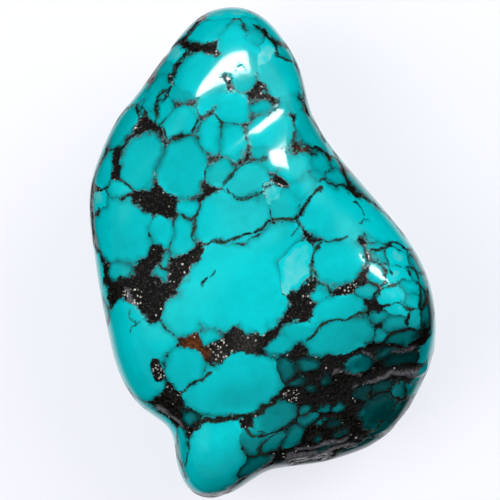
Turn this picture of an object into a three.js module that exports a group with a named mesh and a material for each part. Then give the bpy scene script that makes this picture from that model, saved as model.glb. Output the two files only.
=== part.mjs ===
// A tumbled and polished nugget of turquoise, lying on its back.
//
// It is one solid. Seen from above it fills a closed outline. A front dome rises from the rim of that
// outline and a shallower back dome hangs below it, worn flat where the stone rests. Swells and hollows
// are then laid over the two domes, the way wear leaves hard and soft patches of a stone.
//
// Millimetres, +X right, +Y towards the narrow head, +Z up. The origin is under the middle of the stone,
// on the surface that it rests on.
import * as THREE from "three";
import { mergeVertices } from "three/addons/utils/BufferGeometryUtils.js";

// Driving dimensions
const FRONT_HEIGHT = 6.9; // of the front dome above the rim
const BACK_DEPTH = 6.2; // of the back dome below the rim
const REST_DEPTH = 5.3; // of the worn flat below the rim
const REST_EDGE = 0.35; // rounding where the back dome meets the worn flat
const FRONT_FULLNESS = 0.66; // 1 is an ellipse in section, and less is fuller
const BACK_FULLNESS = 0.85;
const RIM_SLOPE = 0.045; // the head's rim lies higher than the foot's
const CORE = { long: 13.6, wide: 9.6, turn: 100 }; // half-lengths of the ellipse inside, and its turn
const SHOULDER = 0.45; // steepness past which the swells and hollows have their full height
const PATCHES = 28; // mesh patches along each side of the cube that is blown up into the stone

// The outline from above, clockwise from the tip of the head.
const OUTLINE = [
  [-1.7, 15.1], [-0.5, 14.8], [0.5, 14.1], [1.4, 12.9], [2.2, 11.6], [2.6, 10.2], [2.85, 8.9],
  [3.4, 7.8], [4.4, 6.3], [5.5, 5.0], [6.7, 3.6], [7.9, 2.2], [9.1, 0.6], [9.95, -1.0], [10.45, -2.7],
  [10.6, -5.3], [10.3, -6.9], [9.6, -8.6], [8.5, -10.5], [6.9, -11.9], [5.1, -12.6], [3.4, -13.0],
  [1.7, -13.15], [0.3, -13.35], [-0.7, -13.95], [-1.7, -14.6], [-3.0, -15.05], [-4.1, -14.85],
  [-4.9, -14.0], [-5.3, -12.9], [-5.35, -11.8], [-5.6, -10.8], [-6.4, -10.1], [-7.4, -9.4],
  [-8.3, -8.3], [-9.0, -6.7], [-9.5, -4.5], [-9.9, -2.5], [-10.25, -0.1], [-10.55, 2.7],
  [-10.4, 4.5], [-9.8, 6.3], [-8.9, 8.2], [-7.7, 9.7], [-6.75, 11.0], [-5.9, 12.2], [-4.8, 13.6],
  [-3.5, 14.7],
];

// Swells (+) and hollows (-) of the front: where, half-lengths along and across, degrees, millimetres.
const FRONT_RELIEF = [
  { what: "head", at: [-0.9, 12.4], size: [2.2, 2.2], turn: 50, rise: 0.2 },
  { what: "left of the head", at: [-4.7, 8.9], size: [2.6, 1.8], turn: 50, rise: 0.6 },
  { what: "neck hollow", at: [-1.2, 7.0], size: [3.6, 1.0], turn: 38, rise: -0.5 },
  { what: "neck ridge", at: [0.2, 4.6], size: [3.4, 1.5], turn: 38, rise: 0.2 },
  { what: "right of the neck", at: [2.9, 7.2], size: [2.2, 1.3], turn: -65, rise: 0.4 },
  { what: "knuckle", at: [2.1, 3.6], size: [2.8, 2.4], turn: -50, rise: 1.1 },
  { what: "waist hollow", at: [-3.0, 1.6], size: [5.2, 2.6], turn: 20, rise: -0.8 },
  { what: "flank crease", at: [-6.7, 8.4], size: [2.6, 1.0], turn: 70, rise: -0.5 },
  { what: "left flank", at: [-8.0, 4.0], size: [4.5, 1.8], turn: 82, rise: 0.5 },
  { what: "right shoulder", at: [9.6, -3.6], size: [4.4, 2.0], turn: -62, rise: 2.0 },
  { what: "shoulder ridge", at: [7.4, -2.8], size: [3.3, 1.8], turn: -55, rise: 1.2 },
  { what: "belly", at: [-0.5, -4.5], size: [5.5, 3.4], turn: 10, rise: 0.3 },
  { what: "haunch hollow", at: [-7.4, -0.8], size: [2.6, 1.3], turn: 0, rise: -0.3 },
  { what: "left haunch", at: [-7.0, -4.8], size: [3.5, 2.6], turn: 100, rise: 0.5 },
  { what: "fold", at: [7.4, -6.9], size: [3.0, 1.1], turn: 17, rise: -0.6 },
  { what: "groove above the foot", at: [-2.2, -9.6], size: [3.2, 1.2], turn: 13, rise: -0.7 },
  { what: "foot", at: [-3.4, -12.6], size: [2.4, 1.6], turn: 75, rise: 0.4 },
];

// How far the rim itself rises or sinks, which carries both domes with it.
const RIM_RELIEF = [
  { what: "under the skirt", at: [6.5, -11.5], size: [6.0, 4.5], turn: 25, rise: -2.0 },
  { what: "behind the left flank", at: [-9.5, 3.0], size: [6.0, 3.0], turn: 90, rise: 0.6 },
];

// The skirt is a slant face worn across the front dome: a point on its upper edge, the way that it faces,
// its pitch, how much it curls up to each side, and the width of the soft edge where it meets the dome.
const SKIRT = { edge: [5.6, -5.6, 6.5], faces: -70, pitch: 46, curl: 0.035, blend: 1.8 };

// The same as for the front, and here a swell upwards is a hollow of the back.
const BACK_RELIEF = [
  { what: "back of the head", at: [-2.2, 9.0], size: [3.4, 2.8], turn: 60, rise: -0.8 },
  { what: "back hollow", at: [-6.5, -1.5], size: [4.0, 2.2], turn: 70, rise: 0.8 },
  { what: "back of the neck", at: [2.4, 6.0], size: [4.0, 1.6], turn: -30, rise: 0.6 },
  { what: "back of the foot", at: [-1.0, -11.2], size: [4.5, 1.8], turn: 12, rise: 0.8 },
];

// Lists the outline as angles about the origin, in rising order, each with its radius.
function outlineByAngle(points) {
  const curve = new THREE.CatmullRomCurve3(
    points.map(([x, y]) => new THREE.Vector3(x, y, 0)),
    true,
    "centripetal",
  );
  return curve
    .getPoints(points.length * 16)
    .map((p) => ({ angle: Math.atan2(p.y, p.x), radius: Math.hypot(p.x, p.y) }))
    .sort((a, b) => a.angle - b.angle);
}

const RIM = outlineByAngle(OUTLINE);

// The outline's distance from the origin in one direction.
function outlineRadius(angle) {
  const next = RIM.findIndex((p) => p.angle > angle);
  if (next <= 0) return RIM[0].radius;
  const [a, b] = [RIM[next - 1], RIM[next]];
  return THREE.MathUtils.mapLinear(angle, a.angle, b.angle, a.radius, b.radius);
}

// Towards the middle of the stone the contour lines lose the outline's corners and become an ellipse.
function contourRadius(angle, share) {
  const { long, wide, turn } = CORE;
  const aim = angle - THREE.MathUtils.degToRad(turn);
  const ellipse = (long * wide) / Math.hypot(wide * Math.cos(aim), long * Math.sin(aim));
  return THREE.MathUtils.lerp(ellipse, outlineRadius(angle), THREE.MathUtils.smoothstep(share, 0.1, 1));
}

// The height of all swells and hollows at one point.
function relief(list, x, y) {
  return list.reduce((sum, { at, size, turn, rise }) => {
    const a = THREE.MathUtils.degToRad(turn);
    const along = ((x - at[0]) * Math.cos(a) + (y - at[1]) * Math.sin(a)) / size[0];
    const across = ((y - at[1]) * Math.cos(a) - (x - at[0]) * Math.sin(a)) / size[1];
    return sum + rise * Math.exp(-(along * along + across * across));
  }, 0);
}

// The height of the skirt's slant face at one point.
function skirtHeight(x, y) {
  const [edgeX, edgeY, top] = SKIRT.edge;
  const faces = THREE.MathUtils.degToRad(SKIRT.faces);
  const out = (x - edgeX) * Math.cos(faces) + (y - edgeY) * Math.sin(faces);
  const aside = (y - edgeY) * Math.cos(faces) - (x - edgeX) * Math.sin(faces);
  return top - out * Math.tan(THREE.MathUtils.degToRad(SKIRT.pitch)) + SKIRT.curl * aside * aside;
}

// The lower of two heights, with a rounded edge where they cross.
function softLower(a, b, blend) {
  const share = THREE.MathUtils.clamp(0.5 + (b - a) / (2 * blend), 0, 1);
  return THREE.MathUtils.lerp(b, a, share) - blend * share * (1 - share);
}

// Moves one direction from the middle of the stone out to the stone's surface.
function onStone(direction) {
  const share = Math.hypot(direction.x, direction.y);
  const angle = Math.atan2(direction.y, direction.x);
  const radius = contourRadius(angle, share) * share;
  const [x, y] = [radius * Math.cos(angle), radius * Math.sin(angle)];
  const steep = Math.abs(direction.z);
  const rim = RIM_SLOPE * y + relief(RIM_RELIEF, x, y);
  const fade = THREE.MathUtils.smoothstep(steep, 0, SHOULDER);
  if (direction.z >= 0) {
    const dome = rim + FRONT_HEIGHT * steep ** FRONT_FULLNESS;
    const worn = THREE.MathUtils.lerp(dome, softLower(dome, skirtHeight(x, y), SKIRT.blend), fade);
    return new THREE.Vector3(x, y, worn + fade * relief(FRONT_RELIEF, x, y));
  }
  const depth = BACK_DEPTH * steep ** BACK_FULLNESS - rim - fade * relief(BACK_RELIEF, x, y);
  return new THREE.Vector3(x, y, -softLower(depth, REST_DEPTH, REST_EDGE));
}

// A step along a cube's face, changed so that equal steps cover equal angles of the ball.
function evenSpacing(step) {
  return Math.tan((step * Math.PI) / 4);
}

// A cube of equal patches, blown up into a ball and then pushed out to the stone's surface.
function stoneGeometry() {
  const cube = new THREE.BoxGeometry(2, 2, 2, PATCHES, PATCHES, PATCHES);
  cube.deleteAttribute("normal");
  cube.deleteAttribute("uv");
  const geometry = mergeVertices(cube);
  const place = geometry.getAttribute("position");
  for (let i = 0; i < place.count; i++) {
    const [u, v, w] = [place.getX(i), place.getY(i), place.getZ(i)].map(evenSpacing);
    place.setXYZ(i, ...onStone(new THREE.Vector3(u, v, w).normalize()));
  }
  geometry.computeBoundingBox();
  const { min, max } = geometry.boundingBox;
  geometry.translate(-(min.x + max.x) / 2, -(min.y + max.y) / 2, -min.z);
  geometry.computeVertexNormals();
  return geometry;
}

function nugget() {
  const polished = new THREE.MeshStandardMaterial({ color: 0x00bfc2, roughness: 0.15, metalness: 0 });
  const mesh = new THREE.Mesh(stoneGeometry(), polished);
  mesh.name = "turquoise_nugget";
  return mesh;
}

export default new THREE.Group().add(nugget());
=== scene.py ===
# %% [markdown]
# # A tumbled turquoise nugget
# The stone is one piece of turquoise in its dark host rock, tumbled until it is smooth and glossy. The blue
# grew as pebbles packed side by side, and what is left between them is the brown-black matrix. The packed
# CAD model is loaded as a frame, and the stone here is made from a copy of it.

# %% Load the frame
import math

import bpy
import numpy as np
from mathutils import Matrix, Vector, noise


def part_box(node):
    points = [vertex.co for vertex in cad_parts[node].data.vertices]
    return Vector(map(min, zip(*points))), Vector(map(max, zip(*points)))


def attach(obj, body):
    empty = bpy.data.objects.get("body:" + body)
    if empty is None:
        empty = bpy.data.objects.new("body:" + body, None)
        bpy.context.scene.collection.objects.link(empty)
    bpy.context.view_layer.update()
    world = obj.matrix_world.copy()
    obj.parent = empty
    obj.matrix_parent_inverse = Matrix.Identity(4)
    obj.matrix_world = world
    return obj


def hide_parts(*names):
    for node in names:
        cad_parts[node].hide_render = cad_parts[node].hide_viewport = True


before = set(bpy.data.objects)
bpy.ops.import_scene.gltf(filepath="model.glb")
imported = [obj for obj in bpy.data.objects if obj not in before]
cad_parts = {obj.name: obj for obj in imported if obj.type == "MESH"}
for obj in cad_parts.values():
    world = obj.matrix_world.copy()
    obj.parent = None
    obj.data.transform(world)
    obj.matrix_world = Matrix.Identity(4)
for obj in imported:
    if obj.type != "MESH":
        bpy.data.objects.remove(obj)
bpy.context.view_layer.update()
bpy.ops.object.select_all(action="DESELECT")
MM = 0.001
CAD_NAME = "turquoise_nugget"
cad_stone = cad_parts[CAD_NAME]
low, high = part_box(CAD_NAME)
print("CAD box in mm:", [round(v / MM, 2) for v in high - low])

# %% [markdown]
# ## Camera
# The stone lies on its back on a pale surface, and the camera looks straight down on it with a long lens,
# as for a gem catalogue. The distance follows from how wide a strip of the stone has to fill the frame.

# %% Camera
LENS = 135.0  # millimetres, on a sensor 36 mm wide
SENSOR = 36.0
VIEW_WIDTH = 30.86 * MM  # what the frame spans at the height of the stone's rim
VIEW_CENTRE = Vector((-0.80, 0.25, 5.20)) * MM

camera = bpy.data.objects.new("view_camera", bpy.data.cameras.new("view_camera"))
bpy.context.scene.collection.objects.link(camera)
camera.data.lens = LENS
camera.data.sensor_width = SENSOR
camera.data.clip_start = MM
camera.data.clip_end = 5
camera.location = VIEW_CENTRE + Vector((0, 0, VIEW_WIDTH * LENS / SENSOR))
bpy.context.scene.camera = camera
print("camera height in mm:", round(camera.location.z / MM, 1))

# %% [markdown]
# ## The stone's mesh
# The CAD solid already has the stone's exact shape, but its faces are flat. Here a copy of it is merged into
# a closed mesh of four-sided faces and subdivided, so that the polish looks continuous and there are enough
# vertices for the matrix to sit a little deeper than the hard blue pebbles.

# %% A fine copy of the CAD stone
SMOOTH_LEVELS = 2
MERGE_DISTANCE = 0.001 * MM
PAIR_ANGLE = math.radians(60)

stone = bpy.data.objects.new("turquoise_stone", cad_stone.data.copy())
bpy.context.scene.collection.objects.link(stone)
stone.select_set(True)
bpy.context.view_layer.objects.active = stone
bpy.ops.object.mode_set(mode="EDIT")
bpy.ops.mesh.select_all(action="SELECT")
bpy.ops.mesh.remove_doubles(threshold=MERGE_DISTANCE)
bpy.ops.mesh.tris_convert_to_quads(face_threshold=PAIR_ANGLE, shape_threshold=PAIR_ANGLE)
bpy.ops.object.mode_set(mode="OBJECT")
smoother = stone.modifiers.new("Polish", "SUBSURF")
smoother.levels = SMOOTH_LEVELS
smoother.render_levels = SMOOTH_LEVELS
bpy.ops.object.modifier_apply(modifier=smoother.name)
bpy.ops.object.shade_smooth()
print("stone faces:", len(stone.data.polygons))


# %% Places and normals as arrays, in millimetres
def vertex_array(name):
    values = np.zeros(len(stone.data.vertices) * 3, np.float32)
    stone.data.vertices.foreach_get(name, values)
    return values.reshape(-1, 3)


places = vertex_array("co") / MM
normals = vertex_array("normal")
print("highest point in mm:", round(float(places[:, 2].max()), 2))

# %% [markdown]
# ## Which pebbles show on the front
# Each pebble is one or more lobes: where it lies seen from above, its half-lengths along and across, and its
# turn in degrees. The letter is its tone, from deep teal to pale chalky blue. Lobes are listed one by one, and
# the veins aren't drawn at all: they are what remains where two pebbles meet.

# %% Pebbles of the front, in millimetres and degrees
TONES = {"k": 0.08, "d": 0.24, "e": 0.38, "m": 0.56, "b": 0.66, "c": 0.70, "p": 0.91}

HEAD = [
    ("p", (-1.9, 14.4, 1.5, 0.56, -10)),
    ("m", (-0.8, 13.8, 0.86, 0.5, -50)),
    ("b", (0.45, 13.7, 1.23, 0.56, -47)),
    ("b", (-1.6, 12.35, 1.42, 0.77, -75)),
    ("b", (-3.3, 13.3, 1.23, 0.56, 30)),
    ("m", (-4.7, 13.5, 1.1, 0.31, 50)),
    ("p", (-5.25, 11.85, 0.74, 0.43, 20)),
    ("m", (-5.75, 11.15, 0.74, 0.5, 60)),
    ("b", (-3.9, 10.5, 1.6, 1.0, 40)),
    ("m", (-4.75, 9.65, 0.93, 0.6, 10)),
    ("m", (-6.5, 9.5, 1.54, 0.56, 65)),
    ("b", (-6.05, 8.5, 0.74, 0.56, 30)),
    ("m", (-1.15, 10.2, 0.62, 0.56, 0)),
    ("m", (-0.93, 11.35, 0.56, 0.37, -70)),
    ("m", (-0.5, 12.7, 0.43, 0.37, 0)),
    ("b", (-0.62, 12.1, 0.25, 0.31, 0)),
    ("p", (0.12, 12.2, 0.4, 0.37, 0)),
    ("p", (0.06, 11.5, 0.4, 0.4, 0)),
    ("b", (1.05, 10.5, 1.36, 1.05, -25)),
    ("m", (1.3, 12.0, 0.56, 0.37, -50)),
    ("m", (1.55, 9.25, 0.68, 0.25, 0)),
    ("b", (-1.7, 8.5, 1.0, 0.8, 30)),
    ("m", (-0.12, 8.65, 0.43, 0.31, 0)),
    ("m", (1.25, 8.55, 0.43, 0.4, 0)),
    ("m", (2.0, 8.75, 0.43, 0.4, 0)),
    ("m", (2.45, 9.95, 1.23, 0.25, -70)),
    ("m", (2.8, 7.15, 1.23, 0.86, -60)),
    ("b", (0.5, 7.1, 1.3, 1.05, 30)),
    ("m", (-2.6, 9.7, 0.6, 0.4, 60)),
    ("b", (-3.2, 8.9, 0.9, 0.6, 35)),
    ("b", (-2.35, 11.0, 0.75, 0.55, 0)),
    ("b", (0.5, 5.2, 0.4, 0.3, 0)),
    ("m", (-0.05, 6.1, 0.55, 0.45, 20)),
    ("b", (0.95, 5.75, 0.5, 0.35, 10)),
]
UPPER_LEFT = [
    ("m", (-8.4, 7.5, 1.48, 0.62, 62)),
    ("m", (-7.0, 8.75, 0.86, 0.43, 75)),
    ("b", (-4.95, 7.65, 1.05, 0.7, 15)),
    ("m", (-7.05, 5.55, 1.73, 1.05, 75)),
    ("m", (-4.7, 5.1, 1.85, 1.36, 80)),
    ("b", (-9.45, 4.8, 1.1, 0.62, 78)),
    ("b", (-8.4, 3.65, 0.62, 0.56, 0)),
    ("p", (-9.7, 3.2, 0.56, 0.5, 0)),
    ("b", (-8.45, 1.4, 1.9, 1.73, 80)),
    ("b", (-6.1, 1.4, 0.86, 0.8, 45)),
    ("b", (-4.4, 2.6, 0.6, 0.37, 0)),
    ("b", (-4.75, 1.0, 1.05, 0.62, 88)),
    ("c", (-1.9, 2.0, 2.16, 1.48, 20)),
    ("m", (-2.5, 4.7, 0.62, 0.74, 0)),
    ("c", (-3.0, 7.0, 0.9, 0.7, 30)),
    ("b", (-1.9, 6.6, 0.7, 1.0, 20)),
]
MIDDLE_RIGHT = [
    ("b", (-1.0, 4.3, 1.36, 0.74, 20)),
    ("p", (0.55, 3.5, 0.5, 0.43, 0)),
    ("b", (1.3, 2.9, 1.1, 0.68, 30)),
    ("b", (1.85, 5.05, 0.86, 0.74, 0)),
    ("b", (2.3, 3.85, 0.93, 0.56, 50)),
    ("m", (3.35, 5.2, 0.56, 0.5, 0)),
    ("m", (4.25, 5.35, 0.37, 0.25, 0)),
    ("m", (4.3, 4.55, 0.68, 0.37, 0)),
    ("m", (3.15, 4.45, 0.37, 0.25, 0)),
    ("m", (4.0, 4.0, 0.74, 0.19, 0)),
    ("c", (4.15, 2.45, 2.22, 1.48, -25), (6.35, 1.9, 1.5, 0.9, -50), (7.55, 1.35, 1.6, 0.74, -50)),
    ("p", (1.9, -0.75, 1.48, 0.86, 70)),
    ("b", (4.3, -0.35, 1.42, 1.23, 0)),
    ("b", (3.2, -2.3, 0.62, 0.37, 0)),
    ("b", (4.3, -3.2, 1.67, 0.86, 20)),
    ("m", (4.4, -4.8, 2.04, 1.1, 15)),
    ("m", (0.95, -5.3, 0.86, 0.5, 30), (2.1, -4.55, 0.68, 0.56, 0)),
]
BELLY = [
    ("m", (-8.65, -1.05, 0.8, 0.52, 15)),
    ("m", (-5.85, -0.3, 0.43, 0.31, 70)),
    ("m", (-6.15, -0.95, 0.43, 0.43, 0)),
    ("c", (-1.9, -1.9, 2.96, 2.22, 20), (-4.75, -3.6, 1.1, 1.05, 0), (-3.2, -4.9, 0.43, 0.25, 75),
     (0.6, 0.6, 1.7, 0.9, 30), (-2.6, -0.2, 1.3, 0.75, 25), (0.6, -3.1, 0.9, 0.75, 30), (-0.5, -4.0, 0.9, 0.6, 0)),
    ("c", (-7.9, -5.9, 3.1, 1.85, 100), (-6.35, -5.0, 1.0, 0.93, 0)),
    ("b", (-4.55, -6.8, 1.23, 1.05, -45)),
    ("c", (-1.75, -7.8, 2.96, 1.73, 20)),
]
RIGHT_SHOULDER = [
    ("m", (6.05, -2.15, 0.68, 0.5, 0)),
    ("b", (6.35, -1.15, 0.43, 0.5, 0)),
    ("p", (7.7, -0.2, 0.62, 0.5, 0)),
    ("p", (7.8, -1.15, 0.5, 0.5, 0)),
    ("b", (8.4, -1.8, 0.5, 0.37, 0)),
    ("p", (7.35, -2.35, 0.68, 0.56, 25)),
    ("p", (7.65, -3.1, 0.68, 0.43, 0)),
    ("b", (8.45, -2.6, 0.37, 0.37, 0)),
    ("m", (6.65, -3.7, 0.5, 0.31, 0)),
    ("m", (7.55, -4.0, 0.68, 0.43, 25)),
    ("m", (8.75, -3.7, 0.43, 0.56, 0)),
    ("m", (6.8, -4.7, 0.43, 0.31, 0)),
    ("d", (8.0, -4.9, 0.9, 0.43, 30)),
    ("d", (10.0, -3.65, 1.36, 0.31, 90)),
    ("m", (8.9, -0.4, 0.5, 0.35, -50)),
    ("m", (9.3, -1.4, 0.5, 0.35, -60)),
    ("m", (8.7, -1.1, 0.35, 0.3, 0)),
    ("d", (9.3, -2.4, 0.35, 0.5, 0)),
    ("d", (9.5, -3.4, 0.25, 0.5, 0)),
    ("b", (6.9, 0.1, 0.7, 0.3, -50)),
]
# On the lower lobe the deep tones k, d and e are partly deeper teal and partly painted shade, where it slopes away
# from the light.
SKIRT = [
    ("d", (1.35, -6.85, 0.5, 0.74, 0)),
    ("d", (2.6, -6.5, 0.62, 0.31, -15)),
    ("d", (5.7, -6.4, 0.8, 0.5, 0)),
    ("d", (3.65, -7.4, 0.37, 0.31, 0)),
    ("d", (2.0, -7.5, 0.56, 0.37, 20)),
    ("d", (2.9, -7.9, 0.43, 0.31, 0)),
    ("e", (2.4, -9.25, 0.37, 0.37, 0)),
    ("e", (3.5, -9.25, 0.31, 0.25, 0)),
    ("e", (4.45, -9.15, 0.43, 0.28, 35)),
    ("e", (2.65, -9.95, 0.56, 0.37, 25)),
    ("e", (0.8, -9.6, 1.36, 0.93, 35)),
    ("e", (1.85, -10.9, 0.8, 0.5, 40)),
    ("e", (0.45, -11.25, 0.8, 0.43, 30)),
    ("k", (6.9, -9.6, 1.23, 0.93, 45)),
    ("k", (5.85, -8.5, 0.37, 0.25, 0)),
    ("k", (7.0, -8.15, 0.5, 0.19, 20)),
    ("d", (8.5, -8.2, 0.62, 0.31, 20)),
    ("k", (8.2, -9.6, 1.3, 0.3, 33)),
    ("k", (7.8, -10.4, 1.3, 0.3, 33)),
    ("d", (3.6, -10.1, 0.35, 0.22, 20)),
    ("d", (4.4, -10.2, 0.35, 0.22, 20)),
    ("d", (3.4, -11.1, 0.4, 0.25, 30)),
    ("d", (4.7, -10.9, 0.45, 0.25, 30)),
    ("k", (3.8, -11.8, 0.6, 0.2, 20)),
    ("k", (8.2, -6.3, 1.0, 0.4, 20)),
    ("k", (7.2, -5.9, 0.7, 0.3, 20)),
]
FOOT = [
    ("d", (-4.45, -9.8, 0.43, 0.31, 0)),
    ("m", (-4.9, -11.5, 1.0, 0.4, 85)),
    ("b", (-2.9, -12.2, 2.5, 1.9, 70)),
    # These two deep pebbles are partly painted shade, where the foot falls away from the light.
    ("e", (-1.0, -11.3, 1.0, 0.9, 20)),
    ("d", (-0.8, -12.7, 1.2, 0.6, 20)),
]
# How strongly the veins of each region show: 0 leaves pebbles grown together, 1 rings them all round.
REGIONS = [(0.1, HEAD), (0.75, UPPER_LEFT), (0.25, MIDDLE_RIGHT), (0.6, BELLY), (0.7, RIGHT_SHOULDER),
           (0.8, SKIRT), (0.5, FOOT)]
FRONT = [(seam, *pebble) for seam, region in REGIONS for pebble in region]
print("front pebbles:", len(FRONT))

# %% [markdown]
# ## Where the host rock comes through
# Most pebbles touch, with a hair of matrix between them. In some places the blue never closed, and the rock
# shows as pools. Inside a pool, pebbles keep their listed size; elsewhere they grow until they meet.

# %% Pools of matrix, in millimetres and degrees
POOLS = [
    (-4.5, 12.5, 1.3, 0.4, -15), (-3.2, 12.0, 0.9, 0.35, -30), (-3.6, 14.2, 0.4, 0.25, 30),
    (-5.2, 11.2, 1.0, 0.2, 60), (-6.2, 8.9, 1.3, 0.16, 60), (-2.15, 10.1, 0.3, 0.55, 20),
    (-0.2, 9.4, 0.35, 0.8, -15), (1.2, 12.6, 0.6, 0.35, -20), (2.6, 8.6, 0.28, 0.28, 0),
    (1.7, 8.0, 0.2, 0.2, 0), (-3.1, 8.2, 0.3, 0.5, -30),
    (-6.9, 7.2, 1.2, 0.6, -35), (-8.65, 5.2, 1.2, 0.42, -75), (-9.6, 4.0, 0.9, 0.2, 50),
    (-6.35, 4.6, 0.7, 0.17, 90), (-6.3, 3.0, 1.55, 0.7, -15), (-3.45, 3.95, 0.85, 0.32, -60),
    (0.8, 4.2, 0.4, 0.3, 0), (-0.5, 3.2, 0.25, 0.2, 0),
    (-9.15, -1.75, 0.5, 1.15, 0), (-7.6, -2.1, 1.4, 0.75, -20), (-6.7, -2.9, 0.9, 1.2, 0),
    (-6.5, -0.5, 0.6, 1.3, 0), (-5.0, -0.75, 0.9, 0.75, 0), (-4.4, -0.2, 0.7, 0.45, 20),
    (-4.1, -5.4, 0.7, 0.45, 0), (-2.8, -5.9, 0.75, 0.9, 0), (-1.2, -4.9, 1.1, 1.0, 0),
    (-6.35, -6.8, 0.5, 0.7, 0), (-6.0, -9.9, 0.8, 0.4, -40), (-5.6, -8.0, 0.25, 0.5, 10),
    (2.1, -2.7, 0.9, 1.6, -15), (0.25, -4.9, 0.9, 0.4, 30), (0.5, -5.75, 1.2, 0.16, 0),
    (5.0, -1.8, 1.1, 0.35, 20), (5.6, -1.0, 0.4, 0.5, 0), (6.45, -3.05, 0.55, 0.42, 0),
    (1.9, -5.55, 0.42, 0.5, 0), (9.7, -2.7, 0.2, 0.35, 0), (6.7, -4.2, 0.3, 0.25, 0),
    (5.4, -6.0, 2.9, 0.42, 12), (5.7, -9.6, 0.45, 1.8, 0), (4.0, -8.6, 1.9, 0.6, 0),
    (3.2, -8.0, 1.9, 1.5, 0), (3.8, -10.6, 1.6, 1.3, 0), (6.5, -7.2, 2.6, 0.5, 17),
    (-5.1, -9.8, 0.9, 0.5, -35), (-4.4, -10.9, 0.28, 0.55, 0), (-1.1, -9.9, 0.3, 0.45, -30),
    (2.6, -12.4, 2.8, 0.45, 12), (4.8, -12.2, 2.2, 0.6, 12), (7.6, -11.0, 1.8, 0.5, 40),
]
print("pools of matrix:", len(POOLS))

# %% [markdown]
# ## Cracks that healed dark
# The boldest dark lines run on across several pebbles, because the rock cracked there before the stone had
# grown together. Each is a half-width and the few places that it passes through.

# %% Cracks, in millimetres
CRACKS = [
    (0.09, [(-3.95, 0.25), (-2.05, 0.85), (-0.55, 1.3), (0.3, 2.05), (1.75, 2.05), (2.1, 2.35), (2.8, 3.45),
            (3.3, 3.85)]),
    (0.06, [(-3.95, 2.1), (-4.2, 0.85), (-3.7, 0.25)]),
    (0.07, [(-6.05, 7.45), (-5.55, 6.85), (-4.3, 7.05), (-3.9, 7.85)]),
    (0.09, [(-4.5, 11.8), (-5.3, 11.05), (-5.7, 10.3)]),
    (0.05, [(-5.6, 10.0), (-6.2, 9.5), (-6.4, 8.6), (-6.55, 7.8)]),
    (0.05, [(-3.45, 14.0), (-4.5, 12.8)]),
    (0.05, [(-2.1, 13.75), (-1.55, 13.75), (-0.95, 13.15)]),
    (0.08, [(-0.45, 13.4), (0.3, 12.9), (0.75, 12.6), (0.75, 11.65), (1.65, 11.35), (2.3, 10.25), (2.55, 8.9)]),
    (0.06, [(1.65, 8.15), (1.85, 7.35), (1.8, 6.6)]),
    (0.05, [(-2.5, 3.95), (-1.85, 4.9), (-1.0, 5.25), (0.2, 5.7)]),
    (0.05, [(-2.2, 3.75), (-1.6, 3.35), (-0.35, 3.4), (0.45, 3.95)]),
    (0.09, [(1.85, 6.0), (2.6, 6.1), (3.85, 5.8), (4.55, 5.6), (5.5, 4.55)]),
    (0.05, [(3.35, 4.2), (5.05, 4.05)]),
    (0.03, [(2.1, 1.8), (1.5, 1.05)]),
    (0.07, [(2.6, 0.85), (3.5, 0.8), (4.75, 1.0)]),
    (0.07, [(3.35, 0.7), (2.95, -0.2), (2.75, -0.9), (2.8, -1.4)]),
    (0.03, [(5.2, 3.0), (5.85, 2.6), (6.0, 2.15)]),
    (0.03, [(5.7, 1.6), (6.3, 2.0)]),
    (0.08, [(6.45, 0.2), (7.1, 0.3), (7.8, 0.65), (8.6, 0.25), (9.4, -0.5), (10.05, -1.8)]),
    (0.15, [(-4.3, -10.5), (-3.85, -10.05), (-2.95, -10.0), (-2.15, -9.7), (-1.1, -9.5), (-0.1, -9.15),
            (0.75, -8.45)]),
    (0.10, [(0.75, -8.45), (1.6, -8.3), (2.3, -8.1)]),
    (0.08, [(-5.45, -8.3), (-4.6, -8.0), (-3.6, -7.3), (-3.1, -6.9)]),
    (0.11, [(-5.75, -7.5), (-5.45, -8.4), (-5.1, -9.0)]),
    (0.07, [(2.4, -5.0), (3.0, -4.5), (3.85, -4.05), (4.75, -3.85), (5.7, -3.4), (6.3, -3.3)]),
    (0.06, [(6.4, -2.9), (6.6, -1.95), (7.2, -1.75), (8.0, -1.6)]),
    (0.05, [(7.0, -2.95), (7.5, -2.75), (8.0, -2.85), (8.35, -3.1)]),
    (0.04, [(7.2, 0.2), (7.4, -0.5), (7.5, -1.1)]),
    (0.06, [(8.35, 0.25), (8.45, -0.5)]),
    (0.08, [(9.0, -1.9), (9.1, -2.85)]),
    (0.12, [(8.2, -4.1), (8.35, -3.4)]),
    (0.09, [(7.2, -4.8), (8.15, -4.4), (8.8, -4.35)]),
    (0.08, [(-1.1, -10.2), (-0.5, -10.75), (0.4, -10.8), (1.4, -10.3), (2.0, -10.0)]),
    (0.04, [(-0.4, -11.6), (0.1, -11.1), (0.8, -10.8)]),
    (0.03, [(-4.45, -10.9), (-4.55, -12.0), (-4.8, -12.8)]),
    (0.10, [(-3.7, -1.75), (-3.4, -1.5)]),
    (0.06, [(-3.15, -1.45), (-2.95, -1.25)]),
    (0.30, [(-6.55, -6.35), (-6.2, -7.2)]),
    (0.02, [(-8.05, -4.75), (-7.7, -4.3), (-7.2, -3.95), (-6.9, -3.5)]),
    (0.02, [(-7.45, -4.1), (-7.75, -3.7), (-7.7, -3.3)]),
]
print("cracks:", len(CRACKS))


# %% Distance helpers
def surface_height(x, y):
    """The height of the front surface over one place."""
    over = (places[:, 0] - x) ** 2 + (places[:, 1] - y) ** 2 + np.where(normals[:, 2] > 0, 0.0, 100.0)
    return float(places[np.argmin(over), 2])


def smooth_step(values, start, end):
    share = np.clip((values - start) / (end - start), 0, 1)
    return share * share * (3 - 2 * share)


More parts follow.
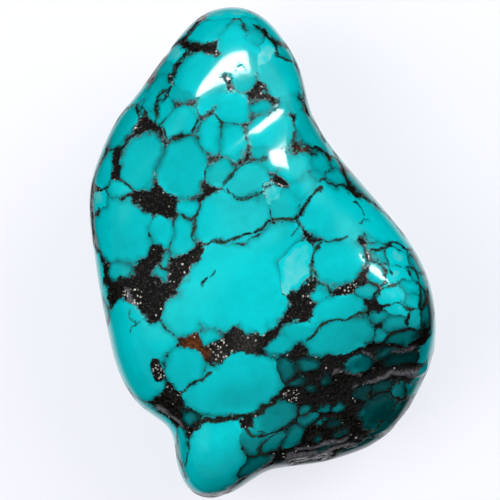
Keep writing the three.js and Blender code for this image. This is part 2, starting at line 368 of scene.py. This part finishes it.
def edge_distance(points, centre, axis, long, wide, tall=1.0):
    """Millimetres from each point to a lobe's edge, and negative inside the lobe."""
    offset = (points - np.array(centre)) * np.array([1, 1, tall])
    far = np.linalg.norm(offset, axis=1)
    along = offset @ np.array(axis)
    share = np.sqrt((along / long) ** 2 + (far**2 - along**2) / wide**2)
    return far * (1 - 1 / np.maximum(share, 1e-3))


def front_lobe(points, x, y, long, wide, turn):
    """A lobe given as seen from above. It reaches twice as far down a slope as a round one would."""
    angle = math.radians(turn)
    centre = (x, y, surface_height(x, y))
    axis = (math.cos(angle), math.sin(angle), 0)
    return edge_distance(points, centre, axis, long, wide, tall=0.5)


# %% [markdown]
# ## Wander
# No pebble is a clean oval. Before any distance is measured, each vertex is moved a little by two sizes of
# noise, so that the outlines wander: a slow bend as long as a pebble, and a fine tremble along the edge.

# %% Wandering places
BEND = {"step": 1.5, "reach": 0.34}
TREMBLE = {"step": 0.5, "reach": 0.17}


def wander(points, step, reach, offset):
    shift = Vector((offset, offset, offset))
    moved = [noise.noise_vector(Vector(p) / step + shift) for p in points.tolist()]
    return reach * np.array([tuple(v) for v in moved])


seen = places + wander(places, **BEND, offset=3.1) + wander(places, **TREMBLE, offset=17.7)
print("wander in mm, at most:", round(float(np.linalg.norm(seen - places, axis=1).max()), 2))

# %% Distances to the front pebbles
stone_edges = [np.min([front_lobe(seen, *lobe) for lobe in lobes], axis=0) for _, _, *lobes in FRONT]
stone_tones = [TONES[tone] for _, tone, *_ in FRONT]
stone_seams = [seam for seam, *_ in FRONT]
nearest = np.min(stone_edges, axis=0)
print("share of the front that pebbles cover:", round(float((nearest[normals[:, 2] > 0.5] < 0).mean()), 2))

# %% [markdown]
# ## Pebbles of the sides and the back
# What the listed pebbles don't reach is filled by rule: darts are thrown at the surface, large pebbles
# first, and a pebble stays where there is room for it. That is how such rock looks, with small pebbles in
# the corners that the large ones leave.

# %% Fill the rest
FILL_SEED = 11
FILL_SIZES = [(2.3, 9), (1.6, 22), (1.1, 46), (0.75, 80), (0.5, 120)]  # half-width and most of that size
FILL_ROOM = 0.82  # of a pebble's half-width, free around its middle
FILL_SEAMS = (0.25, 0.8)
FILL_TONES = [0.24, 0.46, 0.46, 0.66, 0.66, 0.66, 0.78, 0.9]
# Painted shade: side pebbles near these places take the deepest tone, as these sides face away from the light;
# partly real deeper teal.
DEEP_SHADED_SIDES = [((5.0, -12.5, 3.0), 5.5), ((-6.8, -10.6, 3.0), 1.9)]  # middle and reach of deep teal, partly painted shade
DEEP_SHADE_TONE = 0.12

rng = np.random.default_rng(FILL_SEED)


def fill_pebble(vertex, size):
    """One pebble at a vertex, its long axis along the surface."""
    aim = rng.normal(size=3)
    axis = aim - normals[vertex] * (aim @ normals[vertex])
    long = size * rng.uniform(1.05, 1.6)
    return edge_distance(seen, places[vertex], axis / np.linalg.norm(axis), long, size)


for size, most in FILL_SIZES:
    for vertex in rng.choice(len(places), most * 12, replace=False):
        if nearest[vertex] < size * FILL_ROOM or normals[vertex, 2] > 0.45:
            continue
        stone_edges.append(fill_pebble(vertex, size * rng.uniform(0.85, 1.1)))
        shaded = any(np.linalg.norm(places[vertex] - middle) < reach for middle, reach in DEEP_SHADED_SIDES)
        tone = float(rng.choice(FILL_TONES))
        stone_tones.append(DEEP_SHADE_TONE if shaded else tone)
        stone_seams.append(float(rng.uniform(*FILL_SEAMS)))
        nearest = np.minimum(nearest, stone_edges[-1])
print("pebbles in all:", len(stone_edges))


# %% How far each place lies inside a pool
POOL_EDGE = 0.22  # millimetres over which a pool fades out
pool_edges = [front_lobe(seen, *pool) for pool in POOLS]
pools = 1 - smooth_step(np.min(pool_edges, axis=0), -POOL_EDGE, POOL_EDGE)
behind = smooth_step(-normals[:, 2], -0.3, 0.1)
patches = np.array([noise.noise(Vector(p) / 3.3 + Vector((9, 2, 5))) for p in places.tolist()])
pools = np.maximum(pools, behind * smooth_step(patches, 0.12, 0.3))
print("share of the surface in pools:", round(float((pools > 0.5).mean()), 2))

# %% [markdown]
# ## From distances to attributes
# A vein is where the two nearest pebbles are equally far. Stored in vertices, that place would blur between
# them. So each face keeps the distances to its three nearest pebbles at its own corners. Inside the face the
# shader compares them, and the vein comes out as a sharp line however coarse the mesh is.

# %% Write the attributes
KEPT = 3
edges = np.array(stone_edges, np.float32).T
tones = np.array(stone_tones, np.float32)
seams = np.array(stone_seams, np.float32)
corners = np.zeros(len(stone.data.loops), np.int32)
stone.data.loops.foreach_get("vertex_index", corners)
corners = corners.reshape(-1, 4)
face_edges = sum(edges[corners[:, i]] for i in range(4)) / 4
closest = np.argsort(face_edges, axis=1)[:, :KEPT]
corner_edges = edges[corners[:, :, None], closest[:, None, :]]
corner_tones = np.repeat(tones[closest][:, None, :], 4, axis=1)
corner_seams = np.repeat(seams[closest][:, None, :], 4, axis=1)


def crack_offsets():
    """At each face corner: the signed distance to the face's nearest crack, and the crack's half-width there."""
    pieces = [(a, b, width) for width, path in CRACKS for a, b in zip(path, path[1:])]
    starts, ends = np.array([a for a, *_ in pieces]), np.array([b for _, b, _ in pieces])
    lengths = np.linalg.norm(ends - starts, axis=1)
    along = (ends - starts) / lengths[:, None]
    across = np.stack([-along[:, 1], along[:, 0]], axis=1)
    offset = seen[:, None, :2] - starts
    run = np.einsum("vpk,pk->vp", offset, along)
    side = np.einsum("vpk,pk->vp", offset, across)
    overshoot = np.maximum(np.maximum(-run, run - lengths), 0)
    reach = np.hypot(side, overshoot)
    nearest_piece = np.argmin(sum(reach[corners[:, i]] for i in range(4)), axis=1)[:, None]
    widths = np.array([width for *_, width in pieces])[nearest_piece] - overshoot[corners, nearest_piece]
    facing = smooth_step(normals[corners, 2], 0.0, 0.2)
    return np.stack([side[corners, nearest_piece], widths * facing - (1 - facing), facing], axis=2)


def write_attribute(name, values, domain):
    attribute = stone.data.attributes.new(name, "FLOAT_VECTOR", domain)
    attribute.data.foreach_set("vector", np.ascontiguousarray(values, np.float32).ravel())


write_attribute("pebble_edges", corner_edges, "CORNER")
write_attribute("pebble_tones", corner_tones, "CORNER")
write_attribute("pebble_seams", corner_seams, "CORNER")
write_attribute("cracks", crack_offsets(), "CORNER")
print("attributes on", len(corners), "faces")

# %% [markdown]
# ## Special places
# Some spots of the real stone aren't matrix black: rust where iron weathered, grey where the rock is fresh,
# and flecks of pyrite, partly real and partly painted glints of the light. Each is a soft spot with a place, a size
# and a strength.

# %% Rust, grey rock, flecks with painted glints, and folds with painted sheen
RUST = [(-4.15, -5.5, 0.9, 0.9), (-3.5, -5.9, 0.5, 0.8), (1.1, 12.7, 0.7, 0.9),
        (9.6, -2.6, 0.5, 0.8), (-4.0, -5.0, 0.4, 0.7), (2.0, 5.9, 0.8, 0.5), (4.2, 5.7, 0.9, 0.5)]
GREY = [(-1.2, -5.0, 1.1, 0.9), (-2.7, 11.8, 0.7, 0.8), (0.3, 9.5, 0.9, 0.6), (-8.4, -0.1, 1.0, 0.5),
        (-2.6, -6.0, 0.7, 0.6), (5.5, -1.2, 0.6, 0.6)]
# Painted glints: pale specks are denser at these spots, where the light glints on the rock; partly real pyrite
# flecks.
FLECK_GLINT_SPOTS = [(-7.75, -2.5, 0.9, 1.0), (0.25, 4.1, 0.5, 1.0), (-2.7, -5.5, 0.6, 1.0), (-2.2, -6.0, 0.5, 1.0),
          (-4.0, -4.8, 0.4, 0.9), (-7.3, 7.2, 0.5, 0.9), (-0.95, -10.1, 0.35, 1.0), (1.7, -8.3, 0.6, 1.0),
          (0.85, -11.7, 0.25, 0.8), (-6.35, -6.8, 0.7, 0.9), (-2.8, 11.8, 0.5, 0.8), (4.9, -1.8, 0.9, 0.7),
          (2.6, -1.4, 0.4, 0.9), (2.6, -2.7, 0.5, 0.8), (-5.6, -8.1, 0.3, 0.9), (-4.4, -10.9, 0.3, 0.8)]


def spots(rows):
    """The strongest of some soft spots, at every vertex."""
    total = np.zeros(len(seen))
    for x, y, size, strength in rows:
        off = np.linalg.norm(seen - np.array([x, y, surface_height(x, y)]), axis=1)
        total = np.maximum(total, strength * (1 - smooth_step(off, 0.4 * size, 1.2 * size)))
    return total


# Folds of harder rock that tumbling left proud: half-width at both ends, height and course, in mm.
# Their crests are also painted pale grey, a painted reflection of the light; the last row is a painted glint on the
# rock.
SHEENED_FOLDS = [
    (0.13, 0.13, 0.14, [(5.9, -5.8), (6.7, -6.35), (7.7, -5.95), (9.1, -5.4)]),
    (0.08, 0.27, 0.18, [(5.4, -8.1), (6.6, -7.7), (7.8, -7.35), (9.8, -6.95)]),
    (0.10, 0.16, 0.08, [(4.1, -7.1), (4.9, -6.9), (5.7, -7.3)]),
    (0.20, 0.12, 0.10, [(1.4, -12.45), (2.9, -12.2), (4.2, -12.1), (5.7, -11.7)]),
    (0.08, 0.16, 0.08, [(2.2, -11.9), (3.6, -11.6), (5.0, -11.4)]),
    (0.18, 0.12, 0.12, [(-6.3, -9.2), (-5.6, -9.6), (-4.9, -10.3)]),
    (0.14, 0.22, 0.05, [(-7.95, -2.0), (-7.8, -2.6), (-7.55, -3.2)]),
]


def fold_share(start_width, end_width, height, path):
    """How much of a fold there is at every vertex: 1 along its crest, fading to both sides and ends."""
    share = np.zeros(len(seen))
    steps = np.linspace(start_width, end_width, len(path))
    for a, b, width_a, width_b in zip(np.array(path[:-1]), np.array(path[1:]), steps[:-1], steps[1:]):
        run = np.clip((seen[:, :2] - a) @ (b - a) / ((b - a) @ (b - a)), 0, 1)
        off = np.linalg.norm(seen[:, :2] - a - run[:, None] * (b - a), axis=1)
        share = np.maximum(share, np.exp(-((off / (width_a + run * (width_b - width_a))) ** 2)))
    return share * smooth_step(normals[:, 2], 0.1, 0.4)


# Painted reflection: how much pale grey the material paints along each fold crest.
fold_sheen = np.max([fold_share(*fold) for fold in SHEENED_FOLDS], axis=0)
write_attribute("rock_spots_and_glints", np.stack([spots(RUST), spots(GREY), spots(FLECK_GLINT_SPOTS)], axis=1), "POINT")
write_attribute("pools_and_fold_sheen", np.stack([pools, fold_sheen, behind], axis=1), "POINT")

# %% [markdown]
# ## Relief
# The host rock is softer than the turquoise, so tumbling wears it a little deeper and leaves it pitted.
# Every vertex moves in along its normal by how much rock there is under it.

# %% Sink the matrix
GROWTH = 0.26  # millimetres that pebbles grow beyond their list outside pools
SINK = 0.07
PITS = {"step": 0.22, "depth": 0.05}

openness = nearest - GROWTH * (1 - pools)
rock = smooth_step(openness, -0.05, 0.22)
grain = np.array([noise.noise(Vector(p) / PITS["step"]) for p in places.tolist()])
inward = rock * (SINK + PITS["depth"] * np.clip(grain, -0.2, 1))
inward -= np.max([fold_share(*fold) * fold[2] for fold in SHEENED_FOLDS], axis=0)
places = places - normals * inward[:, None]
stone.data.vertices.foreach_set("co", (places * MM).astype(np.float32).ravel())
stone.data.update()
print("deepest pit and highest ridge in mm:", round(float(inward.max()), 3), round(float(-inward.min()), 3))


# %% [markdown]
# ## The stone's material
# One material covers the stone. It compares the stored distances to find pebble, vein and rock, and then
# gives each its own colour and shine: glassy blue, satin brown-black rock, and bright metal flecks that
# are partly painted glints. Pale grey along the fold crests is a painted reflection.

# %% Node helpers
def add_node(tree, kind, **settings):
    node = tree.nodes.new(kind)
    for name, value in settings.items():
        setattr(node, name, value)
    return node


def plug(tree, socket, value):
    """Links a socket to another's output, or sets its own value."""
    if isinstance(value, bpy.types.NodeSocket):
        tree.links.new(value, socket)
    else:
        socket.default_value = value


def maths(tree, operation, *values):
    node = add_node(tree, "ShaderNodeMath", operation=operation)
    for socket, value in zip(node.inputs, values):
        plug(tree, socket, value)
    return node.outputs[0]


def ramp_between(tree, value, start, end, low_value=0.0, high_value=1.0):
    node = add_node(tree, "ShaderNodeMapRange", interpolation_type="SMOOTHSTEP")
    for socket, v in zip(node.inputs, (value, start, end, low_value, high_value)):
        plug(tree, socket, v)
    return node.outputs[0]


def mix_colour(tree, share, a, b, blend="MIX"):
    node = add_node(tree, "ShaderNodeMix", data_type="RGBA", blend_type=blend)
    for name, value in (("Factor_Float", share), ("A_Color", a), ("B_Color", b)):
        socket = next(s for s in node.inputs if s.identifier == name)
        plug(tree, socket, value)
    return next(s for s in node.outputs if s.identifier == "Result_Color")


def mix_value(tree, share, a, b):
    node = add_node(tree, "ShaderNodeMix", data_type="FLOAT")
    for name, value in (("Factor_Float", share), ("A_Float", a), ("B_Float", b)):
        socket = next(s for s in node.inputs if s.identifier == name)
        plug(tree, socket, value)
    return next(s for s in node.outputs if s.identifier == "Result_Float")


def attribute_parts(tree, name):
    source = add_node(tree, "ShaderNodeAttribute", attribute_name=name)
    split = add_node(tree, "ShaderNodeSeparateXYZ")
    tree.links.new(source.outputs["Vector"], split.inputs[0])
    return tuple(split.outputs)


def noise_value(tree, coordinates, per_mm, detail=3.0, roughness=0.6):
    node = add_node(tree, "ShaderNodeTexNoise")
    tree.links.new(coordinates, node.inputs["Vector"])
    node.inputs["Scale"].default_value = per_mm / MM
    node.inputs["Detail"].default_value = detail
    node.inputs["Roughness"].default_value = roughness
    return node.outputs["Fac"]


# %% Pebble, vein and rock masks
def pattern_masks(tree, place):
    """The own pebble's tone and seam, how far vein and open rock are, and the share of each."""
    e1, e2, e3 = attribute_parts(tree, "pebble_edges")
    t1, t2, t3 = attribute_parts(tree, "pebble_tones")
    s1, s2, s3 = attribute_parts(tree, "pebble_seams")
    pool, *_ = attribute_parts(tree, "pools_and_fold_sheen")
    low12 = maths(tree, "MINIMUM", e1, e2)
    high12 = maths(tree, "MAXIMUM", e1, e2)
    own = maths(tree, "MINIMUM", low12, e3)
    second = maths(tree, "MAXIMUM", low12, maths(tree, "MINIMUM", high12, e3))
    to_vein = maths(tree, "MULTIPLY", maths(tree, "SUBTRACT", second, own), 0.5)
    tone12 = mix_value(tree, maths(tree, "LESS_THAN", e2, e1), t1, t2)
    tone = mix_value(tree, maths(tree, "LESS_THAN", e3, low12), tone12, t3)

    seam12 = mix_value(tree, maths(tree, "LESS_THAN", e2, e1), s1, s2)
    seam = mix_value(tree, maths(tree, "LESS_THAN", e3, low12), seam12, s3)

    ragged = maths(tree, "SUBTRACT", noise_value(tree, place, 2.2, 5.0, 0.75), 0.5)
    crumbs = maths(tree, "MULTIPLY", maths(tree, "SUBTRACT", noise_value(tree, place, 6.0, 3.0, 0.7), 0.5), 0.30)
    grown = maths(tree, "MULTIPLY", maths(tree, "SUBTRACT", 1.0, pool), GROWTH)
    opened = maths(tree, "ADD", maths(tree, "SUBTRACT", own, grown), maths(tree, "MULTIPLY", ragged, 0.9))
    crumbled = maths(tree, "ADD", opened, maths(tree, "MULTIPLY", crumbs, 2.2))
    rock_share = ramp_between(tree, crumbled, -0.14, 0.12)

    swell = maths(tree, "SUBTRACT", noise_value(tree, place, 0.55, 3.0), 0.5)
    width = maths(tree, "MULTIPLY", maths(tree, "SUBTRACT", seam, 0.55), 0.16)
    width = maths(tree, "ADD", width, maths(tree, "MULTIPLY", swell, 0.35))
    width = maths(tree, "ADD", width, maths(tree, "MULTIPLY", ragged, 0.16))
    width = maths(tree, "ADD", width, maths(tree, "MULTIPLY", pool, 0.05))
    width = maths(tree, "MAXIMUM", width, 0.0)
    clear = maths(tree, "SUBTRACT", maths(tree, "SUBTRACT", to_vein, width), crumbs)
    inside = ramp_between(tree, clear, -0.03, 0.08)
    faint = ramp_between(tree, seam, 0.0, 0.6, 0.10, 0.35)
    strength = ramp_between(tree, width, 0.0, 0.05, faint, 1.0)
    vein = maths(tree, "MULTIPLY", maths(tree, "SUBTRACT", 1.0, inside), strength)

    side, half_width, _ = attribute_parts(tree, "cracks")
    within = maths(tree, "SUBTRACT", half_width, maths(tree, "ABSOLUTE", side))
    within = maths(tree, "ADD", within, maths(tree, "MULTIPLY", ragged, 0.25))
    crack = ramp_between(tree, maths(tree, "ADD", within, crumbs), -0.10, 0.06)
    vein = maths(tree, "MAXIMUM", vein, crack)
    wide = maths(tree, "MULTIPLY", crack, ramp_between(tree, half_width, 0.12, 0.2))
    rock_share = maths(tree, "MAXIMUM", rock_share, wide)
    return tone, seam, to_vein, opened, vein, rock_share


# %% Polished turquoise
DEEP = (0.0, 0.055, 0.055, 1)
TEAL = (0.0, 0.22, 0.23, 1)
BLUE = (0.0, 0.46, 0.48, 1)
BRIGHT = (0.0, 0.66, 0.70, 1)
CHALK = (0.16, 0.72, 0.72, 1)
ROCK_DARK = (0.004, 0.004, 0.0035, 1)
ROCK_BROWN = (0.050, 0.042, 0.032, 1)
ROCK_RUST = (0.16, 0.045, 0.008, 1)
ROCK_GREY = (0.055, 0.052, 0.045, 1)
FOLD_SHEEN_GREY = (0.19, 0.18, 0.20, 1)
VEIN_OLIVE = (0.020, 0.040, 0.024, 1)
FLECK_GLINT = (0.88, 0.84, 0.74, 1)


def colour_ramp(tree, value, stops):
    node = add_node(tree, "ShaderNodeValToRGB")
    elements = node.color_ramp.elements
    for _ in range(len(stops) - 2):
        elements.new(0.5)
    for element, (position, colour) in zip(elements, stops):
        element.position = position
        element.color = colour
    tree.links.new(value, node.inputs[0])
    return node.outputs[0]


def turquoise_material():
    material = bpy.data.materials.new("polished_turquoise")
    material.use_nodes = True
    tree = material.node_tree
    shader = tree.nodes["Principled BSDF"]
    shader.inputs["IOR"].default_value = 1.62
    place = add_node(tree, "ShaderNodeTexCoord").outputs["Object"]
    tone, seam, to_vein, open_edge, vein, rock_share = pattern_masks(tree, place)
    rust, grey, fleck_glints = attribute_parts(tree, "rock_spots_and_glints")

    clouds = maths(tree, "SUBTRACT", noise_value(tree, place, 0.5, 3.0), 0.5)
    mottle = maths(tree, "SUBTRACT", noise_value(tree, place, 2.2, 4.0, 0.65), 0.5)
    level = maths(tree, "ADD", tone, maths(tree, "MULTIPLY", clouds, 0.30))
    level = maths(tree, "ADD", level, maths(tree, "MULTIPLY", mottle, 0.12))
    shade = ramp_between(tree, seam, 0.0, 0.6, 0.08, 0.24)
    edge_shade = ramp_between(tree, to_vein, 0.0, 0.40, shade, 0.0)
    fringe = ramp_between(tree, noise_value(tree, place, 0.4, 2.0), 0.5, 0.65)
    pale_edge = ramp_between(tree, open_edge, -0.55, -0.05, 0.0, 0.16)
    dark_edge = ramp_between(tree, open_edge, -0.45, 0.0, 0.0, 0.26)
    edge_shade = maths(tree, "MAXIMUM", edge_shade, dark_edge)
    level = maths(tree, "SUBTRACT", level, maths(tree, "MULTIPLY", edge_shade, maths(tree, "SUBTRACT", 1.0, fringe)))
    level = maths(tree, "ADD", level, maths(tree, "MULTIPLY", fringe, pale_edge))
    blue = colour_ramp(tree, level, [(0.05, DEEP), (0.28, TEAL), (0.52, BLUE), (0.74, BRIGHT), (0.86, BRIGHT), (1.0, CHALK)])

    grit = noise_value(tree, place, 7.0, 3.0, 0.7)
    rock = mix_colour(tree, ramp_between(tree, grit, 0.48, 0.75), ROCK_DARK, ROCK_BROWN)
    rock = mix_colour(tree, maths(tree, "MULTIPLY", rust, ramp_between(tree, grit, 0.3, 0.6)), rock, ROCK_RUST)
    rock = mix_colour(tree, maths(tree, "MULTIPLY", grey, ramp_between(tree, grit, 0.3, 0.7)), rock, ROCK_GREY)
    # Painted reflection: pale grey streaks along the fold crests stand in for the light mirrored on them.
    _, fold, _ = attribute_parts(tree, "pools_and_fold_sheen")
    painted_fold_sheen = maths(tree, "MULTIPLY", ramp_between(tree, fold, 0.1, 1.0), ramp_between(tree, grit, 0.2, 0.65))
    rock = mix_colour(tree, painted_fold_sheen, rock, FOLD_SHEEN_GREY)

    # Painted glints: pale metal specks, denser at the listed spots, are partly real pyrite and partly painted glints
    # of the light.
    cells = add_node(tree, "ShaderNodeTexVoronoi", feature="F1")
    tree.links.new(place, cells.inputs["Vector"])
    cells.inputs["Scale"].default_value = 6.5 / MM
    pick = add_node(tree, "ShaderNodeSeparateColor")
    tree.links.new(cells.outputs["Color"], pick.inputs[0])
    wanted = ramp_between(tree, fleck_glints, 0.0, 1.0, 0.97, 0.50)
    uneven = maths(tree, "ADD", cells.outputs["Distance"], maths(tree, "MULTIPLY", grit, 1.6))
    uneven = maths(tree, "SUBTRACT", uneven, 0.75)
    glint_speck = maths(tree, "GREATER_THAN", pick.outputs[0], wanted)
    glint_speck = maths(tree, "MULTIPLY", glint_speck, ramp_between(tree, uneven, 0.52, 0.30))
    glint_speck = maths(tree, "MULTIPLY", glint_speck, maths(tree, "MAXIMUM", rock_share, maths(tree, "MULTIPLY", fleck_glints, 0.3)))
    rock = mix_colour(tree, glint_speck, rock, FLECK_GLINT)

    olive = maths(tree, "MULTIPLY", ramp_between(tree, noise_value(tree, place, 0.9, 3.0), 0.40, 0.60), 0.85)
    line = mix_colour(tree, olive, rock, VEIN_OLIVE)
    colour = mix_colour(tree, rock_share, mix_colour(tree, vein, blue, line), rock)
    tree.links.new(colour, shader.inputs["Base Color"])

    satin = ramp_between(tree, grit, 0.3, 0.8, 0.12, 0.22)
    shine = mix_value(tree, rock_share, 0.13, satin)
    tree.links.new(shine, shader.inputs["Roughness"])
    tree.links.new(maths(tree, "MULTIPLY", glint_speck, 0.3), shader.inputs["Metallic"])

    lumps = noise_value(tree, place, 3.0, 1.5, 0.5)
    height = maths(tree, "MULTIPLY", rock_share, maths(tree, "ADD", lumps, maths(tree, "MULTIPLY", glint_speck, 0.8)))
    bump = add_node(tree, "ShaderNodeBump")
    bump.inputs["Strength"].default_value = 0.6
    bump.inputs["Distance"].default_value = 0.10 * MM
    tree.links.new(height, bump.inputs["Height"])
    tree.links.new(bump.outputs[0], shader.inputs["Normal"])
    return material


stone.data.materials.clear()
stone.data.materials.append(turquoise_material())
print("material nodes:", len(stone.data.materials[0].node_tree.nodes))

# %% Put the stone in the frame
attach(stone, "root")
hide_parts(CAD_NAME)

# %% [markdown]
# ## Stage and light
# The stone lies on a bright white surface. Only the part of it close to the stone mirrors in the polish, as
# a thin pale rim, and none of it lights the shaded side, so that the lower lobe stays dark.

# %% Floor
FLOOR_SIZE = 2.0
FLOOR_GAP = 0.05 * MM
NEAR_RAY = (8.0 * MM, 13.0 * MM)  # how far a mirrored ray may run before the surface fades from it


def floor_material():
    material = bpy.data.materials.new("pale_surface")
    material.use_nodes = True
    tree = material.node_tree
    pale = tree.nodes["Principled BSDF"]
    pale.inputs["Base Color"].default_value = (0.25, 0.25, 0.26, 1)
    pale.inputs["Roughness"].default_value = 0.6
    pale.inputs["Emission Color"].default_value = (0.92, 0.94, 1.0, 1)
    pale.inputs["Emission Strength"].default_value = 0.76
    unseen = add_node(tree, "ShaderNodeBsdfDiffuse")
    unseen.inputs["Color"].default_value = (0, 0, 0, 1)
    rays = add_node(tree, "ShaderNodeLightPath").outputs
    near = ramp_between(tree, rays["Ray Length"], *NEAR_RAY, 1.0, 0.0)
    mirrored = maths(tree, "MULTIPLY", rays["Is Glossy Ray"], near)
    share = maths(tree, "MAXIMUM", rays["Is Camera Ray"], mirrored)
    mix = add_node(tree, "ShaderNodeMixShader")
    tree.links.new(share, mix.inputs[0])
    tree.links.new(unseen.outputs[0], mix.inputs[1])
    tree.links.new(pale.outputs[0], mix.inputs[2])
    tree.links.new(mix.outputs[0], tree.nodes["Material Output"].inputs["Surface"])
    return material


bpy.ops.object.select_all(action="DESELECT")
bpy.ops.mesh.primitive_plane_add(size=FLOOR_SIZE, location=(0, 0, -FLOOR_GAP))
floor = bpy.context.object
floor.name = "stage_floor"
floor.data.materials.append(floor_material())


# %% Lights and surroundings
def area_light(name, location, size, energy):
    light = bpy.data.lights.new(name, "AREA")
    light.shape = "RECTANGLE"
    light.size, light.size_y = size
    light.energy = energy
    lamp = bpy.data.objects.new(name, light)
    bpy.context.scene.collection.objects.link(lamp)
    lamp.location = location
    aim = Vector((0, 0, 0.004)) - Vector(location)
    lamp.rotation_euler = aim.to_track_quat("-Z", "Y").to_euler()
    return lamp


key = area_light("key_light", (-0.02, 0.21, 0.25), (0.17, 0.10), 1.0)
key.visible_diffuse = False
for name, location, energy in (("fill_left", (-0.26, -0.02, 0.28), 1.25), ("fill_right", (0.27, 0.20, 0.24), 1.5)):
    fill = area_light(name, location, (0.30, 0.30), energy)
    fill.visible_glossy = False

world = bpy.data.worlds.new("studio")
bpy.context.scene.world = world
world.use_nodes = True
studio = world.node_tree
dim = studio.nodes["Background"]
dim.inputs[0].default_value = (0.8, 0.85, 1.0, 1)
dim.inputs[1].default_value = 0.08
bright = add_node(studio, "ShaderNodeBackground")
bright.inputs[0].default_value = (0.88, 0.90, 0.95, 1)
world_rays = add_node(studio, "ShaderNodeLightPath").outputs
world_mix = add_node(studio, "ShaderNodeMixShader")
studio.links.new(world_rays["Is Camera Ray"], world_mix.inputs[0])
studio.links.new(dim.outputs[0], world_mix.inputs[1])
studio.links.new(bright.outputs[0], world_mix.inputs[2])
studio.links.new(world_mix.outputs[0], studio.nodes["World Output"].inputs["Surface"])
bpy.context.scene.view_settings.view_transform = "Standard"
